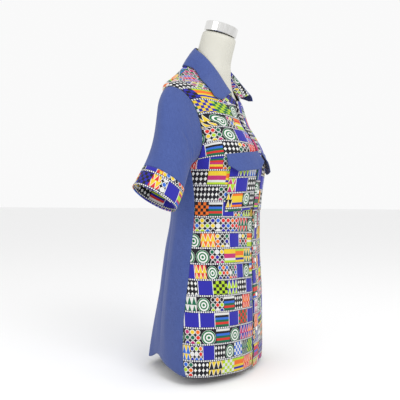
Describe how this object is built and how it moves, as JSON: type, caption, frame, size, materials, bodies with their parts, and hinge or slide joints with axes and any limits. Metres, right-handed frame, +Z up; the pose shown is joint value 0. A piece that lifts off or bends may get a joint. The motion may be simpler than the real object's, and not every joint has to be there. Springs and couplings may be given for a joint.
{
  "type": "ankara wax print shirt dress on a dress form",
  "caption": "Short-sleeved wax print and chambray shirt dress with collar and flap pockets, worn by a limbless dress form on a low round stand.",
  "frame": {"origin": "middle of the underside of the stand's round base", "axes": "+Z up, the front of the dress faces -Y, the wearer's right is -X"},
  "size_m": [0.6672, 0.3517, 1.0119],
  "materials": {
    "print": "printed plain-weave cotton, small bright geometric patches",
    "chambray": "matte indigo chambray with a fine slub",
    "button": "pearl white, glossy",
    "form": "smooth pale warm grey, satin",
    "chrome": "brushed bright chrome"
  },
  "bodies": {
    "root": {"front_right": "print", "front_left": "print", "back": "chambray", "back_yoke": "print", "sleeve_right": "chambray", "sleeve_left": "chambray", "sleeve_band_right": "print", "sleeve_band_left": "print", "button_band": "print", "button_1": "button", "button_2": "button", "button_3": "button", "button_4": "button", "button_5": "button", "button_6": "button", "button_7": "button", "pocket_right": "print", "pocket_left": "print", "pocket_flap_right": "chambray", "pocket_flap_left": "chambray", "collar_stand": "print", "collar_leaf": "chambray", "form_body": "form", "neck_cap": "chrome", "stand_pole": "chrome", "stand_base": "chrome"}
  },
  "joints": []
}
